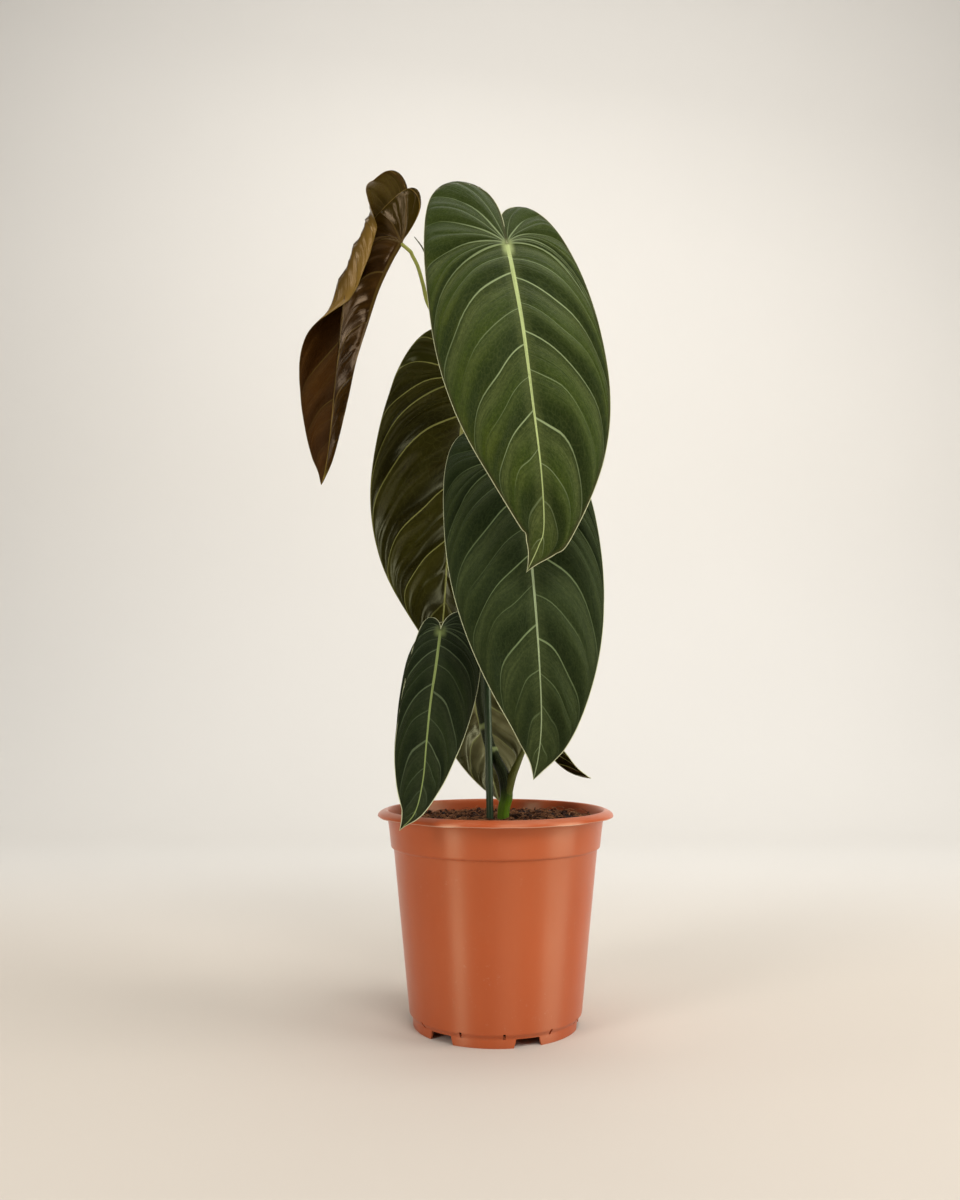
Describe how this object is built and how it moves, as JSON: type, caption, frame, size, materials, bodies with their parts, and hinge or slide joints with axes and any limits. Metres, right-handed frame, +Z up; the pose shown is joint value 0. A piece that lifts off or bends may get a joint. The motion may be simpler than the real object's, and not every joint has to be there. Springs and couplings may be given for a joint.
{
  "type": "potted philodendron melanochrysum",
  "caption": "Potted climbing philodendron with long drooping heart-shaped leaves, tied to a thin stake in a round plastic nursery pot.",
  "frame": {"origin": "on the floor under the middle of the whole plant's bounding box; the pot's axis stands at x = 36.8 mm, y = 7.7 mm", "axes": "+Z up along the pot's axis, -Y towards the front, where the two largest leaves show their upper sides"},
  "size_m": [0.2636, 0.2054, 0.709],
  "materials": {
    "pot_plastic": "terracotta-coloured moulded plastic, satin",
    "soil_mix": "loose coir and bark potting mix, matt; fabric stands in for soil",
    "stake_green": "dark green coated stake, satin",
    "tie_green": "soft green plant tie",
    "vine_green": "fresh green vine, smooth; leather stands in for plant tissue",
    "petiole_green": "pale green leaf stalk, smooth",
    "leaf_green": "dark green velvety upper side with pale veins, glossy olive underside",
    "leaf_bronze": "young leaf, bronze brown, glossy underside"
  },
  "bodies": {
    "root": {"pot": "pot_plastic", "soil": "soil_mix", "support_stake": "stake_green", "soft_tie_1": "tie_green", "soft_tie_2": "tie_green", "stem": "vine_green", "petiole_top_front": "petiole_green", "petiole_middle_front": "petiole_green", "petiole_low_left": "petiole_green", "petiole_back_left": "petiole_green", "petiole_new_bronze": "petiole_green", "petiole_low_back": "petiole_green", "petiole_low_right": "petiole_green", "new_leaf_sheath": "petiole_green", "leaf_top_front": "leaf_green", "leaf_middle_front": "leaf_green", "leaf_low_left": "leaf_green", "leaf_back_left": "leaf_green", "leaf_new_bronze": "leaf_bronze", "leaf_low_back": "leaf_green", "leaf_low_right": "leaf_green"}
  },
  "joints": []
}
